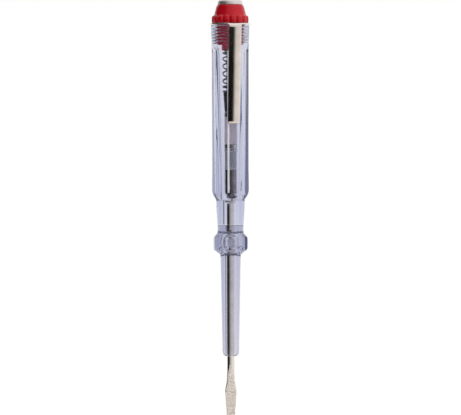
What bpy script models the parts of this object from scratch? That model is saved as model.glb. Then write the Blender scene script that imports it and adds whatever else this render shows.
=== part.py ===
"""Voltage tester screwdriver, cap up and blade down, in metres with +Z up.

The origin is the middle of the blade's tip, and +Z runs along the tool's axis to the contact on its cap.
The pocket clip faces -Y, turned a little towards +X, where it lies over one of the handle's eight flats.
"""

import math

import bmesh
import bpy
from mathutils import Matrix, Vector

# Heights along the axis, from the blade's tip up
BLADE_EXPOSED = 0.0199
SLEEVE_LENGTH = 0.0341
GUARD_LOWER_BEVEL = 0.0023
GUARD_FLAT_LENGTH = 0.0034
GUARD_UPPER_BEVEL = 0.0017
COLLAR_LENGTH = 0.0027
SEAM_GAP = 0.0001
NECK_LENGTH = 0.0084
SHOULDER_LENGTH = 0.0034
FLATS_LENGTH = 0.0478
THREAD_ZONE = 0.0077
RING_GAP = 0.00012
CLIP_THICKNESS = 0.00045
CAP_RIM_HEIGHT = 0.0026
CAP_DOME_HEIGHT = 0.00355
STUD_GAP = 0.0001
STUD_HEAD_HEIGHT = 0.00156

# Handle
FACETS = 8
FACET_TURN_DEG = -6.2
FLAT_APOTHEM = 0.0058
FLAT_RUNOUT = 0.0018
FLAT_RUNOUT_RISE = 0.0009
HANDLE_TOP_RADIUS = 0.00648
HANDLE_RADIUS = 0.00626
HANDLE_WAIST_RADIUS = 0.00617
NECK_RADIUS = 0.00481
NECK_END_RADIUS = 0.00442
NECK_STRAIGHT_SHARE = 0.27
WAIST_SHARE = 0.35
SHOULDER_POWER = 1.4
LAMP_BORE_RADIUS = 0.0030
LAMP_BORE_CORNER = 0.0003
SHANK_BORE_RADIUS = 0.00145
MOUTH_CHAMFER = 0.0003

# Screw thread of the cap in the handle
THREAD_PITCH = 0.00105
THREAD_RADIUS = 0.0049
THREAD_DEPTH = 0.00055
THREAD_CREST = 0.0003
THREAD_ROOT = 0.0007
THREAD_TURNS = 6
THREAD_SINK = 0.0002
THREAD_SIDE_CLEARANCE = 0.00015
THREAD_FLANK_CLEARANCE = 0.0001

# Cap and its contact stud
CAP_RADIUS = 0.0063
CAP_DOME_RADIUS = 0.00533
CAP_TOP_RADIUS = 0.00432
CAP_SKIRT_LENGTH = 0.0076
CAP_BOSS_RADIUS = 0.00285
CAP_BOSS_LENGTH = 0.00115
CAP_GROOVES = 16
CAP_GROOVE_RADIUS = 0.00045
CAP_GROOVE_DEPTH = 0.0003
STUD_HEAD_RADIUS = 0.00423
STUD_SHAFT_RADIUS = 0.0013
STUD_CLEARANCE = 0.0001
RIVET_RADIUS = 0.0019
RIVET_HEIGHT = 0.0006
WASHER_RADIUS = 0.00275
WASHER_THICKNESS = 0.0004

# Blade
SHANK_RADIUS = 0.00125
TIP_WIDTH = 0.0030
TIP_THICKNESS = 0.0005
BLADE_WIDTH = 0.00395
BLADE_FLAT_LENGTH = 0.0155
WEDGE_LENGTH = 0.0159
BLADE_HEAD_RADIUS = 0.0019
BLADE_HEAD_HEIGHT = 0.0011
BLADE_HEAD_RECESS = 0.0002
HEAD_CLEARANCE = 0.0002
WING_WIDTH = 0.0036
WING_THICKNESS = 0.0009
WING_LENGTH = 0.0030
SHANK_CLEARANCE = 0.00006

# Guard and sleeve
COLLAR_RADIUS = 0.0044
COLLAR_WAIST_RADIUS = 0.00432
GUARD_FOOT_RADIUS = 0.00449
GUARD_RADIUS = 0.00603
GUARD_APOTHEM = 0.00557
GUARD_TURN_DEG = -16.5
SLEEVE_TOP_RADIUS = 0.00337
SLEEVE_END_RADIUS = 0.00281
SLEEVE_TIP_RADIUS = 0.0020
SLEEVE_TIP_LENGTH = 0.0017
SLEEVE_BORE_RADIUS = 0.00152

# Lamp, resistor and spring
STACK_OFFSET = 0.0006
CONTACT_GAP = 0.0001
LAMP_RADIUS = 0.0023
LAMP_WALL = 0.0003
LAMP_LENGTH = 0.01615
LAMP_ROUND_LENGTH = 0.0019
LAMP_CAP_THICKNESS = 0.0006
LAMP_CAP_RADIUS = 0.00235
ELECTRODE_RADIUS = 0.00175
ELECTRODE_WALL = 0.0003
LOWER_ELECTRODE_LENGTH = 0.0081
LAMP_BEAD_RADIUS = 0.0019
LAMP_BEAD_HEIGHT = 0.0006
LAMP_BEAD_BORE = 0.0005
PIN_RADIUS = 0.00035
PIN_CLEARANCE = 0.0001
PIN_LENGTH = 0.0020
RESISTOR_LENGTH = 0.0122
RESISTOR_CAP_HEIGHT = 0.0015
RESISTOR_CAP_RADIUS = 0.0022
RESISTOR_CAP_FLOOR = 0.00035
RESISTOR_COAT_RADIUS = 0.00215
RESISTOR_ROD_RADIUS = 0.00135
ROD_CLEARANCE = 0.0001
CONE_HEIGHT = 0.0072
CONE_TOP_RADIUS = 0.0022
CONE_FOOT_RADIUS = 0.0014
CONE_FLANGE_RADIUS = 0.0027
CONE_FLANGE_HEIGHT = 0.0003
CONE_WALL = 0.0004
SPRING_RADIUS = 0.0024
SPRING_WIRE = 0.0005
SPRING_ACTIVE_TURNS = 4.5
SPRING_END_TURNS = 1
SPRING_END_GAP = 0.00045

# Clip
CLIP_TURN_DEG = 12.0
CLIP_RING_RADIUS = 0.0070
CLIP_RING_BORE = 0.00515
CLIP_TAB_REACH = 0.0078
CLIP_TAB_WIDTH = 0.0062
CLIP_ARM_TOP_WIDTH = 0.00435
CLIP_ARM_END_WIDTH = 0.0040
CLIP_ARM_LENGTH = 0.0334
CLIP_HINGE_GAP = 0.00012
CLIP_STAND_OFF = 0.0085
CLIP_RIDGE_CLEARANCE = 0.0002
CLIP_TIP_LIFT = 0.0003

# Fineness and tools
ROUND_STEPS = 40
SMALL_STEPS = 24
THREAD_STEPS = 24
COIL_STEPS = 10
OVERRUN = 0.001
MERGE = 0.000001

# Places that follow from the sizes above
guard_bottom = BLADE_EXPOSED + SLEEVE_LENGTH
guard_low = guard_bottom + GUARD_LOWER_BEVEL
guard_high = guard_low + GUARD_FLAT_LENGTH
guard_top = guard_high + GUARD_UPPER_BEVEL
collar_top = guard_top + COLLAR_LENGTH
neck_bottom = collar_top + SEAM_GAP
neck_top = neck_bottom + NECK_LENGTH
flats_bottom = neck_top + SHOULDER_LENGTH
flats_top = flats_bottom + FLATS_LENGTH
handle_top = flats_top + THREAD_ZONE
ring_bottom = handle_top + RING_GAP
ring_top = ring_bottom + CLIP_THICKNESS
rim_bottom = ring_top + RING_GAP
rim_top = rim_bottom + CAP_RIM_HEIGHT
cap_top = rim_top + CAP_DOME_HEIGHT
stud_bottom = cap_top + STUD_GAP
stud_top = stud_bottom + STUD_HEAD_HEIGHT
lamp_floor = neck_top
blade_top = lamp_floor - BLADE_HEAD_RECESS
pin_bottom = blade_top + CONTACT_GAP
lamp_bottom = lamp_floor + CONTACT_GAP
lamp_top = lamp_bottom + LAMP_LENGTH
lamp_cap_bottom = lamp_top + CONTACT_GAP
lamp_cap_top = lamp_cap_bottom + LAMP_CAP_THICKNESS
resistor_bottom = lamp_cap_top + CONTACT_GAP
resistor_top = resistor_bottom + RESISTOR_LENGTH
cone_bottom = resistor_top + CONTACT_GAP
cone_top = cone_bottom + CONE_HEIGHT
skirt_bottom = rim_bottom - CAP_SKIRT_LENGTH
boss_bottom = skirt_bottom - CAP_BOSS_LENGTH
washer_top = boss_bottom - CONTACT_GAP
washer_bottom = washer_top - WASHER_THICKNESS
rivet_top = washer_bottom - CONTACT_GAP
spring_low = cone_top + CONTACT_GAP + SPRING_WIRE / 2
spring_high = washer_bottom - CONTACT_GAP - SPRING_WIRE / 2
thread_root_radius = THREAD_RADIUS - THREAD_DEPTH
thread_bore_radius = thread_root_radius + THREAD_SIDE_CLEARANCE
thread_low = skirt_bottom + THREAD_ROOT / 2
facet_turn = math.radians(FACET_TURN_DEG)
guard_turn = math.radians(GUARD_TURN_DEG)
half_facet = math.pi / FACETS
clip_turn = math.radians(CLIP_TURN_DEG)

# Colours, roughness and metal share of each finish
FINISHES = {
    "clear": ((0.72, 0.73, 0.82), 0.05, 0),
    "red": ((0.62, 0.02, 0.03), 0.3, 0),
    "chrome": ((0.85, 0.80, 0.80), 0.08, 1),
    "steel": ((0.75, 0.70, 0.64), 0.25, 1),
    "spring": ((0.20, 0.20, 0.24), 0.3, 1),
    "glass": ((0.80, 0.82, 0.86), 0.05, 0),
    "electrode": ((0.30, 0.26, 0.29), 0.35, 1),
    "lacquer": ((0.50, 0.38, 0.42), 0.35, 0),
    "ceramic": ((0.80, 0.78, 0.74), 0.6, 0),
}


def make_collection(name, hidden):
    found = bpy.data.collections.new(name)
    bpy.context.scene.collection.children.link(found)
    found.hide_render = hidden
    return found


def finish(name):
    found = bpy.data.materials.get(name)
    if found:
        return found
    colour, roughness, metal = FINISHES[name]
    made = bpy.data.materials.new(name)
    made.use_nodes = True
    shader = made.node_tree.nodes["Principled BSDF"]
    shader.inputs["Base Color"].default_value = (*colour, 1)
    shader.inputs["Roughness"].default_value = roughness
    shader.inputs["Metallic"].default_value = metal
    return made


def add(name, mesh, look=None):
    """An object in the part's collection, or among the cutters where it has no look."""
    made = bpy.data.objects.new(name, mesh)
    if look:
        made.data.materials.append(finish(look))
        parts.objects.link(made)
    else:
        made.hide_render = True
        made.display_type = "WIRE"
        cutters.objects.link(made)
    return made


def turned(name, outline, look=None, hollow=False, steps=ROUND_STEPS, offset=0):
    """A turned solid. Its outline runs down its outer side and, where it is hollow, back up its bore."""
    mesh = bpy.data.meshes.new(name)
    last = len(outline) - 1
    edges = [(i, i + 1) for i in range(last)]
    if hollow:
        edges.append((last, 0))
    mesh.from_pydata([(r, 0, z) for r, z in outline], edges, [])
    made = add(name, mesh, look)
    made.location.x = offset
    made.rotation_euler.z = facet_turn
    turn = made.modifiers.new("turn", "SCREW")
    turn.steps = turn.render_steps = steps
    turn.use_merge_vertices = True
    turn.merge_threshold = MERGE
    return made


def combine(target, tool, operation):
    made = target.modifiers.new(tool.name, "BOOLEAN")
    made.operation = operation
    made.object = tool
    made.solver = "EXACT"
    return made


def from_bmesh(name, bm, look=None):
    bmesh.ops.recalc_face_normals(bm, faces=bm.faces)
    mesh = bpy.data.meshes.new(name)
    bm.to_mesh(mesh)
    bm.free()
    return add(name, mesh, look)


def plate(name, outline, thickness, turn):
    """A flat outline in (across, up), extruded and turned upright, as a mesh that Booleans can use."""
    curve = bpy.data.curves.new(name, "CURVE")
    curve.dimensions = "2D"
    curve.fill_mode = "BOTH"
    curve.extrude = thickness / 2
    spline = curve.splines.new("POLY")
    spline.points.add(len(outline) - 1)
    for point, (across, up) in zip(spline.points, outline):
        point.co = (across, up, 0, 1)
    spline.use_cyclic_u = True
    drawn = bpy.data.objects.new(name, curve)
    cutters.objects.link(drawn)
    bpy.context.view_layer.update()
    solid = bpy.data.meshes.new_from_object(drawn.evaluated_get(bpy.context.evaluated_depsgraph_get()))
    bpy.data.objects.remove(drawn)
    bm = bmesh.new()
    bm.from_mesh(solid)
    bpy.data.meshes.remove(solid)
    bmesh.ops.remove_doubles(bm, verts=bm.verts, dist=MERGE)
    bmesh.ops.transform(bm, verts=bm.verts, matrix=turn)
    return from_bmesh(name, bm)


def octagon(name, sections, turn):
    """An eight-sided loft through (height, apothem), with a ridge at the given turn from the front."""
    bm = bmesh.new()
    rings = []
    for height, apothem in sections:
        corner = apothem / math.cos(half_facet)
        ring = []
        for i in range(FACETS):
            angle = i / FACETS * math.tau + turn
            ring.append(bm.verts.new((corner * math.sin(angle), -corner * math.cos(angle), height)))
        rings.append(ring)
    bm.faces.new(rings[0])
    bm.faces.new(rings[-1])
    for low, high in zip(rings, rings[1:]):
        for i in range(FACETS):
            bm.faces.new((low[i - 1], low[i], high[i], high[i - 1]))
    return from_bmesh(name, bm)


def thread_half(radius):
    """Half the height of the cap's thread at a radius, on its flanks drawn on past crest and root."""
    slope = (THREAD_ROOT - THREAD_CREST) / 2 / THREAD_DEPTH
    return THREAD_CREST / 2 + (THREAD_RADIUS - radius) * slope


def helix_ridge(name, inner, outer, flank, before, after):
    """A thread's ridge, spun from one face. flank widens it, and before and after add turns to its ends."""
    bm = bmesh.new()
    corners = [
        (inner, thread_half(inner) + flank),
        (outer, thread_half(outer) + flank),
        (outer, -thread_half(outer) - flank),
        (inner, -thread_half(inner) - flank),
    ]
    verts = [bm.verts.new((r, 0, thread_low + z)) for r, z in corners]
    face = bm.faces.new(verts)
    if before:
        back = Matrix.Rotation(-before * math.tau, 4, "Z")
        down = Matrix.Translation((0, 0, -before * THREAD_PITCH))
        bmesh.ops.transform(bm, verts=verts, matrix=down @ back)
    turns = THREAD_TURNS + before + after
    steps = math.ceil(turns * THREAD_STEPS)
    bmesh.ops.spin(
        bm,
        geom=[face, *face.edges, *verts],
        axis=(0, 0, 1),
        cent=(0, 0, 0),
        dvec=(0, 0, turns * THREAD_PITCH / steps),
        angle=turns * math.tau,
        steps=steps,
    )
    bmesh.ops.remove_doubles(bm, verts=bm.verts, dist=MERGE)
    return from_bmesh(name, bm)


def shoulder():
    """The handle's rounded shoulder, from the barrel down to the neck, as (radius, height)."""
    count = 6
    points = []
    for i in range(1, count + 1):
        drop = math.sin(i / count * math.pi / 2)
        reach = max(0, 1 - drop**SHOULDER_POWER) ** (1 / SHOULDER_POWER)
        radius = NECK_RADIUS + (HANDLE_RADIUS - NECK_RADIUS) * reach
        points.append((radius, flats_bottom - SHOULDER_LENGTH * drop))
    return points


def make_handle():
    waist = flats_top - FLATS_LENGTH * (1 - WAIST_SHARE)
    neck_straight_end = neck_top - NECK_LENGTH * NECK_STRAIGHT_SHARE
    head_floor = blade_top - BLADE_HEAD_HEIGHT - CONTACT_GAP
    outline = [
        (HANDLE_TOP_RADIUS, handle_top),
        (HANDLE_RADIUS, flats_top),
        (HANDLE_WAIST_RADIUS, waist),
        (HANDLE_RADIUS, flats_bottom),
        *shoulder(),
        (NECK_RADIUS, neck_straight_end),
        (NECK_END_RADIUS, neck_bottom),
        (SHANK_BORE_RADIUS, neck_bottom),
        (SHANK_BORE_RADIUS, head_floor),
        (BLADE_HEAD_RADIUS + HEAD_CLEARANCE, head_floor),
        (BLADE_HEAD_RADIUS + HEAD_CLEARANCE, lamp_floor),
        (LAMP_BORE_RADIUS - LAMP_BORE_CORNER, lamp_floor),
        (LAMP_BORE_RADIUS, lamp_floor + LAMP_BORE_CORNER),
        (thread_bore_radius, flats_top),
        (thread_bore_radius, handle_top - MOUTH_CHAMFER),
        (thread_bore_radius + MOUTH_CHAMFER, handle_top),
    ]
    handle = turned("handle_body", outline, "clear", hollow=True)
    flats = octagon(
        "handle_flats",
        [
            (neck_bottom - OVERRUN, FLAT_APOTHEM),
            (flats_top - FLAT_RUNOUT, FLAT_APOTHEM),
            (flats_top, FLAT_APOTHEM + FLAT_RUNOUT_RISE),
            (handle_top + OVERRUN, FLAT_APOTHEM + FLAT_RUNOUT_RISE),
        ],
        facet_turn,
    )
    combine(handle, flats, "INTERSECT")
    groove = helix_ridge(
        "handle_thread_groove",
        thread_bore_radius - THREAD_SINK,
        THREAD_RADIUS + THREAD_SIDE_CLEARANCE,
        THREAD_FLANK_CLEARANCE,
        0.1,
        1,
    )
    combine(handle, groove, "DIFFERENCE")


def make_sleeve():
    bore = SHANK_RADIUS + SHANK_CLEARANCE
    outline = [
        (COLLAR_RADIUS, collar_top),
        (COLLAR_WAIST_RADIUS, guard_top + COLLAR_LENGTH / 2),
        (GUARD_FOOT_RADIUS, guard_top),
        (GUARD_RADIUS, guard_high),
        (GUARD_RADIUS, guard_low),
        (SLEEVE_TOP_RADIUS, guard_bottom),
        (SLEEVE_END_RADIUS, BLADE_EXPOSED + SLEEVE_TIP_LENGTH),
        (SLEEVE_TIP_RADIUS, BLADE_EXPOSED),
        (SLEEVE_BORE_RADIUS, BLADE_EXPOSED),
        (SLEEVE_BORE_RADIUS, guard_bottom),
        (bore, guard_bottom + SLEEVE_BORE_RADIUS - bore),
        (bore, collar_top),
    ]
    sleeve = turned("blade_sleeve", outline, "clear", hollow=True)
    flats = octagon(
        "guard_flats",
        [(BLADE_EXPOSED - OVERRUN, GUARD_APOTHEM), (collar_top + OVERRUN, GUARD_APOTHEM)],
        guard_turn,
    )
    combine(sleeve, flats, "INTERSECT")
    combine(sleeve, wings("wing_slots", SHANK_CLEARANCE), "DIFFERENCE")


def wings(name, clearance):
    """The block whose ends stand out of the shank inside the guard."""
    bm = bmesh.new()
    bmesh.ops.create_cube(bm, size=1)
    grow = 2 * clearance
    size = (WING_WIDTH + grow, WING_THICKNESS + grow, WING_LENGTH + grow)
    bmesh.ops.scale(bm, verts=bm.verts, vec=size)
    bmesh.ops.translate(bm, verts=bm.verts, vec=(0, 0, (guard_low + guard_high) / 2))
    return from_bmesh(name, bm)


def make_blade():
    head_foot = blade_top - BLADE_HEAD_HEIGHT
    outline = [
        (0, blade_top),
        (BLADE_HEAD_RADIUS, blade_top),
        (BLADE_HEAD_RADIUS, (blade_top + head_foot) / 2),
        (SHANK_RADIUS, head_foot),
        (SHANK_RADIUS, BLADE_FLAT_LENGTH / 2),
        (0, BLADE_FLAT_LENGTH / 2),
    ]
    blade = turned("blade", outline, "steel", steps=SMALL_STEPS)
    # (share of the flat's length, share of its greatest half width), from the top of the flat down
    width_shares = (
        (1, 0.5),
        (0.85, 0.66),
        (0.76, 0.70),
        (0.65, 0.80),
        (0.60, 0.89),
        (0.54, 0.97),
        (0.48, 1),
        (0.41, 0.95),
        (0.33, 0.91),
        (0.24, 0.90),
        (0.19, 0.86),
    )
    side = [(w * BLADE_WIDTH / 2, h * BLADE_FLAT_LENGTH) for h, w in width_shares]
    side += [(TIP_WIDTH / 2, 0.11 * BLADE_FLAT_LENGTH), (TIP_WIDTH / 2, 0)]
    front = side + [(-across, up) for across, up in reversed(side)]
    upright = Matrix.Rotation(math.pi / 2, 4, "X")
    flat = plate("blade_flat", front, 4 * SHANK_RADIUS, upright)
    # (share of the wedge's length, half thickness), from the tip up
    steps = (
        (0, TIP_THICKNESS / 2),
        (0.11, TIP_THICKNESS * 0.54),
        (0.46, TIP_THICKNESS * 0.8),
        (0.66, TIP_THICKNESS * 1.24),
        (1, SHANK_RADIUS),
        (1.05, WING_WIDTH),
        (blade_top / WEDGE_LENGTH + 1, WING_WIDTH),
    )
    side = [(half, share * WEDGE_LENGTH) for share, half in steps]
    profile = side + [(-across, up) for across, up in reversed(side)]
    sideways = Matrix.Rotation(math.pi / 2, 4, "Z") @ upright
    wedge = plate("blade_wedge", profile, 2 * WING_WIDTH, sideways)
    combine(blade, flat, "UNION")
    combine(blade, wings("blade_wings", 0), "UNION")
    combine(blade, wedge, "INTERSECT")


def make_lamp():
    round_steps = 5
    outline = [(LAMP_RADIUS - LAMP_WALL, lamp_top), (LAMP_RADIUS, lamp_top)]
    hole = PIN_RADIUS + PIN_CLEARANCE
    for i in range(round_steps + 1):
        angle = i / round_steps * math.pi / 2
        radius = hole + LAMP_WALL + (LAMP_RADIUS - hole - LAMP_WALL) * math.cos(angle)
        outline.append((radius, lamp_bottom + LAMP_ROUND_LENGTH * (1 - math.sin(angle))))
    outline.append((hole, lamp_bottom))
    for i in range(round_steps, -1, -1):
        angle = i / round_steps * math.pi / 2
        radius = hole + (LAMP_RADIUS - LAMP_WALL - hole) * math.cos(angle)
        height = LAMP_ROUND_LENGTH * (1 - math.sin(angle)) + LAMP_WALL * math.sin(angle)
        outline.append((radius, lamp_bottom + height))
    turned("lamp_glass", outline, "glass", hollow=True, steps=SMALL_STEPS, offset=STACK_OFFSET)

    electrode_low = pin_bottom + PIN_LENGTH + CONTACT_GAP
    electrode_high = electrode_low + LOWER_ELECTRODE_LENGTH
    cup("lamp_lower_electrode", electrode_low, electrode_high, "electrode")
    bead_low = electrode_high + CONTACT_GAP
    bead_high = bead_low + LAMP_BEAD_HEIGHT
    bead = [
        (LAMP_BEAD_RADIUS, bead_high),
        (LAMP_BEAD_RADIUS, bead_low),
        (LAMP_BEAD_BORE, bead_low),
        (LAMP_BEAD_BORE, bead_high),
    ]
    turned("lamp_bead", bead, "ceramic", hollow=True, steps=SMALL_STEPS, offset=STACK_OFFSET)
    cup("lamp_upper_electrode", bead_high + CONTACT_GAP, lamp_top - CONTACT_GAP, "steel")
    edge = LAMP_CAP_THICKNESS / 4
    disc = [
        (0, lamp_cap_top),
        (LAMP_CAP_RADIUS - edge, lamp_cap_top),
        (LAMP_CAP_RADIUS, lamp_cap_top - edge),
        (LAMP_CAP_RADIUS, lamp_cap_bottom + edge),
        (LAMP_CAP_RADIUS - edge, lamp_cap_bottom),
        (0, lamp_cap_bottom),
    ]
    turned("lamp_top_cap", disc, "chrome", steps=SMALL_STEPS, offset=STACK_OFFSET)
    pin = [
        (0, pin_bottom + PIN_LENGTH),
        (PIN_RADIUS, pin_bottom + PIN_LENGTH),
        (PIN_RADIUS, pin_bottom),
        (0, pin_bottom),
    ]
    turned("lamp_base_pin", pin, "steel", steps=12, offset=STACK_OFFSET)


def cup(name, low, high, look):
    """A lamp electrode, open downwards."""
    inner = ELECTRODE_RADIUS - ELECTRODE_WALL
    outline = [
        (0, high),
        (ELECTRODE_RADIUS, high),
        (ELECTRODE_RADIUS, low),
        (inner, low),
        (inner, high - ELECTRODE_WALL),
        (0, high - ELECTRODE_WALL),
    ]
    turned(name, outline, look, steps=SMALL_STEPS, offset=STACK_OFFSET)


def make_resistor():
    bore = RESISTOR_ROD_RADIUS + ROD_CLEARANCE
    rod_low = resistor_bottom + RESISTOR_CAP_FLOOR + CONTACT_GAP
    rod_high = resistor_top - RESISTOR_CAP_FLOOR - CONTACT_GAP
    rod = [(0, rod_high), (RESISTOR_ROD_RADIUS, rod_high), (RESISTOR_ROD_RADIUS, rod_low), (0, rod_low)]
    turned("resistor_rod", rod, "ceramic", steps=SMALL_STEPS, offset=STACK_OFFSET)
    coat_low = resistor_bottom + RESISTOR_CAP_HEIGHT + CONTACT_GAP
    coat_high = resistor_top - RESISTOR_CAP_HEIGHT - CONTACT_GAP
    coat = [
        (RESISTOR_COAT_RADIUS, coat_high),
        (RESISTOR_COAT_RADIUS, coat_low),
        (bore, coat_low),
        (bore, coat_high),
    ]
    turned("resistor_coat", coat, "lacquer", hollow=True, steps=SMALL_STEPS, offset=STACK_OFFSET)
    floor = resistor_bottom + RESISTOR_CAP_FLOOR
    lip = resistor_bottom + RESISTOR_CAP_HEIGHT
    lower = [
        (0, floor),
        (bore, floor),
        (bore, lip),
        (RESISTOR_CAP_RADIUS, lip),
        (RESISTOR_CAP_RADIUS, resistor_bottom),
        (0, resistor_bottom),
    ]
    turned("resistor_lower_cap", lower, "steel", steps=SMALL_STEPS, offset=STACK_OFFSET)
    middle = resistor_bottom + resistor_top
    upper = [(r, middle - z) for r, z in reversed(lower)]
    turned("resistor_upper_cap", upper, "steel", steps=SMALL_STEPS, offset=STACK_OFFSET)


def make_cone():
    flange_low = cone_top - CONE_FLANGE_HEIGHT
    outline = [
        (0, cone_bottom + CONE_WALL),
        (CONE_FOOT_RADIUS - CONE_WALL, cone_bottom + CONE_WALL),
        (CONE_TOP_RADIUS - CONE_WALL, cone_top),
        (CONE_FLANGE_RADIUS, cone_top),
        (CONE_FLANGE_RADIUS, flange_low),
        (CONE_TOP_RADIUS, flange_low),
        (CONE_FOOT_RADIUS, cone_bottom),
        (0, cone_bottom),
    ]
    turned("contact_cone", outline, "steel", steps=SMALL_STEPS)


def coil_points():
    """Points along the spring: a close turn at each end and evenly spaced turns between."""
    end_pitch = SPRING_WIRE + SPRING_END_GAP
    ends = SPRING_END_TURNS * end_pitch
    active_pitch = (spring_high - spring_low - 2 * ends) / SPRING_ACTIVE_TURNS
    turns = SPRING_ACTIVE_TURNS + 2 * SPRING_END_TURNS
    count = round(turns * COIL_STEPS)
    points = []
    for i in range(count + 1):
        at = turns * i / count
        height = min(at, SPRING_END_TURNS) * end_pitch
        height += min(max(at - SPRING_END_TURNS, 0), SPRING_ACTIVE_TURNS) * active_pitch
        height += max(at - SPRING_END_TURNS - SPRING_ACTIVE_TURNS, 0) * end_pitch
        angle = at * math.tau
        x = SPRING_RADIUS * math.sin(angle)
        y = -SPRING_RADIUS * math.cos(angle)
        points.append(Vector((x, y, spring_low + height)))
    return points


def make_spring():
    points = coil_points()
    curve = bpy.data.curves.new("contact_spring", "CURVE")
    curve.dimensions = "3D"
    curve.bevel_depth = SPRING_WIRE / 2
    curve.bevel_resolution = 1
    curve.use_fill_caps = True
    curve.twist_mode = "Z_UP"
    spline = curve.splines.new("POLY")
    spline.points.add(len(points) - 1)
    for point, place in zip(spline.points, points):
        point.co = (*place, 1)
    add("contact_spring", curve, "spring")
    apart = COIL_STEPS // 2
    least = min((b - a).length for i, a in enumerate(points) for b in points[i + apart + 1 :])
    print(f"contact_spring: least gap between its turns {(least - SPRING_WIRE) * 1000:.3f} mm")


def make_washer():
    bore = STUD_SHAFT_RADIUS + STUD_CLEARANCE
    outline = [
        (WASHER_RADIUS, washer_top),
        (WASHER_RADIUS, washer_bottom),
        (bore, washer_bottom),
        (bore, washer_top),
    ]
    turned("stud_washer", outline, "steel", hollow=True, steps=SMALL_STEPS)


def make_stud():
    # (share of the head's radius, share of its height), over its rounded edge
    edge_shares = ((0.78, 1), (0.89, 0.9), (0.94, 0.71), (0.97, 0.48), (0.99, 0.29), (1, 0))
    head = [(r * STUD_HEAD_RADIUS, stud_bottom + h * STUD_HEAD_HEIGHT) for r, h in edge_shares]
    outline = [
        (0, stud_top),
        *head,
        (STUD_SHAFT_RADIUS, stud_bottom),
        (STUD_SHAFT_RADIUS, rivet_top),
        (RIVET_RADIUS, rivet_top),
        (RIVET_RADIUS * 0.95, rivet_top - RIVET_HEIGHT * 0.6),
        (RIVET_RADIUS * 0.6, rivet_top - RIVET_HEIGHT),
        (0, rivet_top - RIVET_HEIGHT),
    ]
    turned("contact_stud", outline, "chrome")


def make_cap():
    bore = STUD_SHAFT_RADIUS + STUD_CLEARANCE
    # (share of the way from the dome's top radius to its foot radius, share of its height)
    dome_shares = ((-0.1, 1), (0.15, 0.94), (0.53, 0.7), (0.86, 0.33), (1, 0.03))
    spread = CAP_DOME_RADIUS - CAP_TOP_RADIUS
    dome = [(CAP_TOP_RADIUS + s * spread, rim_top + h * CAP_DOME_HEIGHT) for s, h in dome_shares]
    # (share of the rim's radius, share of its height)
    rim_shares = ((0.97, 0.97), (1, 0.82), (1, 0.06), (0.985, 0))
    rim = [(r * CAP_RADIUS, rim_bottom + h * CAP_RIM_HEIGHT) for r, h in rim_shares]
    outline = [
        (bore, cap_top),
        *dome,
        *rim,
        (thread_root_radius, rim_bottom),
        (thread_root_radius, skirt_bottom),
        (CAP_BOSS_RADIUS, skirt_bottom),
        (CAP_BOSS_RADIUS, boss_bottom),
        (bore, boss_bottom),
    ]
    cap = turned("screw_cap", outline, "red", hollow=True)
    inner = thread_root_radius - THREAD_SINK
    thread = helix_ridge("cap_thread", inner, THREAD_RADIUS, 0, 0, 0)
    combine(cap, thread, "UNION")
    bm = bmesh.new()
    for i in range(CAP_GROOVES):
        angle = i / CAP_GROOVES * math.tau
        reach = CAP_RADIUS + CAP_GROOVE_RADIUS - CAP_GROOVE_DEPTH
        place = Vector((reach * math.sin(angle), -reach * math.cos(angle), (rim_bottom + rim_top) / 2))
        bmesh.ops.create_cone(
            bm,
            cap_ends=True,
            segments=12,
            radius1=CAP_GROOVE_RADIUS,
            radius2=CAP_GROOVE_RADIUS,
            depth=CAP_RIM_HEIGHT + OVERRUN,
            matrix=Matrix.Translation(place),
        )
    combine(cap, from_bmesh("cap_grooves", bm), "DIFFERENCE")


def clip_frame():
    """Turns (across, outward, up) into the part's frame at the clip's place."""
    return Matrix.Rotation(clip_turn, 4, "Z") @ Matrix.Scale(-1, 4, (0, 1, 0))


def make_clip_ring():
    ring = turned(
        "clip_ring",
        [
            (CLIP_RING_RADIUS, ring_top),
            (CLIP_RING_RADIUS, ring_bottom),
            (CLIP_RING_BORE, ring_bottom),
            (CLIP_RING_BORE, ring_top),
        ],
        "steel",
        hollow=True,
    )
    bm = bmesh.new()
    bmesh.ops.create_cube(bm, size=1)
    inner = (CLIP_RING_BORE + CLIP_RING_RADIUS) / 2
    size = (CLIP_TAB_WIDTH, CLIP_TAB_REACH - inner, CLIP_THICKNESS)
    bmesh.ops.scale(bm, verts=bm.verts, vec=size)
    middle = Vector((0, (CLIP_TAB_REACH + inner) / 2, (ring_bottom + ring_top) / 2))
    bmesh.ops.translate(bm, verts=bm.verts, vec=middle)
    for vert in bm.verts:
        if vert.co.y > middle.y:
            vert.co.x *= CLIP_ARM_TOP_WIDTH / CLIP_TAB_WIDTH
    bmesh.ops.transform(bm, verts=bm.verts, matrix=clip_frame())
    combine(ring, from_bmesh("clip_tab", bm), "UNION")


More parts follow.
